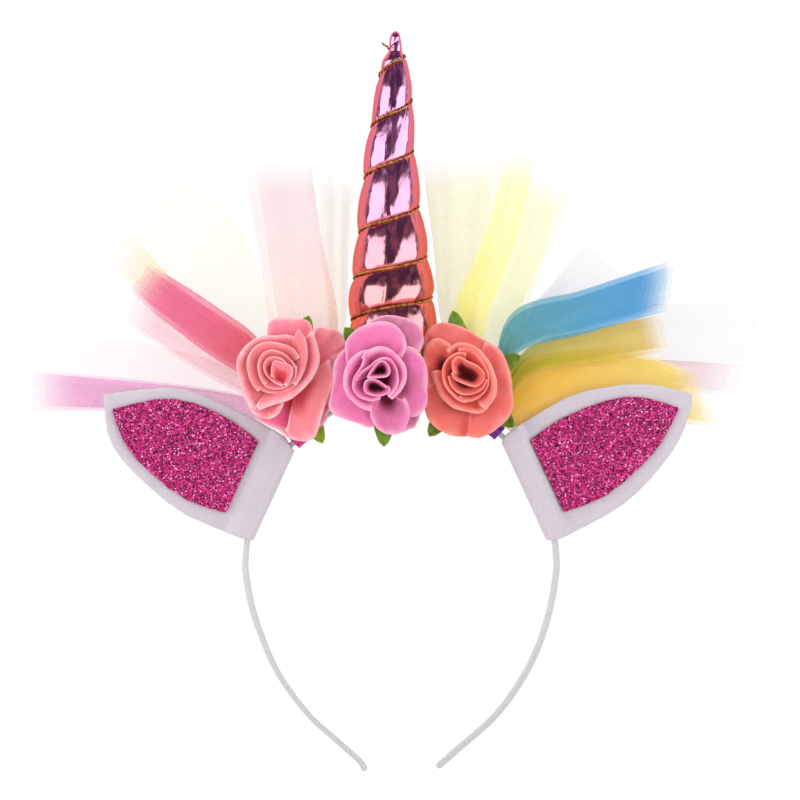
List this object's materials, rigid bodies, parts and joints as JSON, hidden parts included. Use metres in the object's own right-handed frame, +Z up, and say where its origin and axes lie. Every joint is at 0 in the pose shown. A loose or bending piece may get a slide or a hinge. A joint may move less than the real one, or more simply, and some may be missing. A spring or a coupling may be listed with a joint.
{
  "type": "unicorn horn headband",
  "caption": "Satin-wrapped headband with a padded foil horn wound with gold cord, felt ears with glitter panels, foam roses and a fan of coloured tulle strips.",
  "frame": {"origin": "middle of the underside of the band's top, where the headband sits on a head", "axes": "+Z up along the horn, +X to the right as seen from the front, front of the roses towards -Y"},
  "size_m": [0.2949, 0.063, 0.296],
  "materials": {
    "white_satin": "satin ribbon wound round a thin core",
    "pink_foil": "metallic pink foil film on cloth, mirror bright",
    "gold_cord": "twisted metallic gold thread",
    "white_felt": "soft felt",
    "pink_glitter": "coarse fuchsia glitter sheet",
    "rose_left": "soft foam petals with paler edges",
    "rose_centre": "soft foam petals with paler edges",
    "rose_right": "soft foam petals with paler edges",
    "green_leaf": "moulded green calyx",
    "tulle_magenta": "gathered tulle",
    "tulle_purple": "gathered tulle",
    "tulle_lilac": "soft net tulle",
    "tulle_blush": "soft net tulle",
    "tulle_pink": "soft net tulle",
    "tulle_rose": "soft net tulle, folded dense",
    "tulle_straw": "soft net tulle",
    "tulle_cream": "soft net tulle",
    "tulle_peach": "soft net tulle",
    "tulle_ivory": "soft net tulle",
    "tulle_yellow": "soft net tulle, folded dense",
    "tulle_lemon": "soft net tulle",
    "tulle_white": "soft net tulle",
    "tulle_blue": "soft net tulle, folded dense",
    "tulle_lime": "soft net tulle",
    "tulle_gold": "soft net tulle, folded dense",
    "tulle_ice": "soft net tulle"
  },
  "bodies": {
    "root": {"band": "white_satin", "horn": "pink_foil", "horn_cord": "gold_cord", "ear_felt_left": "white_felt", "ear_glitter_left": "pink_glitter", "ear_felt_right": "white_felt", "ear_glitter_right": "pink_glitter", "rose_left_outer": "rose_left", "rose_left_middle": "rose_left", "rose_left_inner": "rose_left", "rose_left_bud": "rose_left", "calyx_left": "green_leaf", "rose_centre_outer": "rose_centre", "rose_centre_middle": "rose_centre", "rose_centre_inner": "rose_centre", "rose_centre_bud": "rose_centre", "calyx_centre": "green_leaf", "rose_right_outer": "rose_right", "rose_right_middle": "rose_right", "rose_right_inner": "rose_right", "rose_right_bud": "rose_right", "calyx_right": "green_leaf", "tulle_wrap_left": "tulle_magenta", "tulle_wrap_right": "tulle_purple", "tulle_lilac_left": "tulle_lilac", "tulle_blush_left": "tulle_blush", "tulle_pink_left": "tulle_pink", "tulle_rose_left": "tulle_rose", "tulle_straw_left": "tulle_straw", "tulle_cream_left": "tulle_cream", "tulle_peach_left": "tulle_peach", "tulle_ivory_left": "tulle_ivory", "tulle_yellow_right": "tulle_yellow", "tulle_cream_right": "tulle_cream", "tulle_lemon_right": "tulle_lemon", "tulle_white_right": "tulle_white", "tulle_blue_right": "tulle_blue", "tulle_lime_right": "tulle_lime", "tulle_gold_right": "tulle_gold", "tulle_ice_right": "tulle_ice", "tulle_lilac_right": "tulle_lilac"}
  },
  "joints": []
}
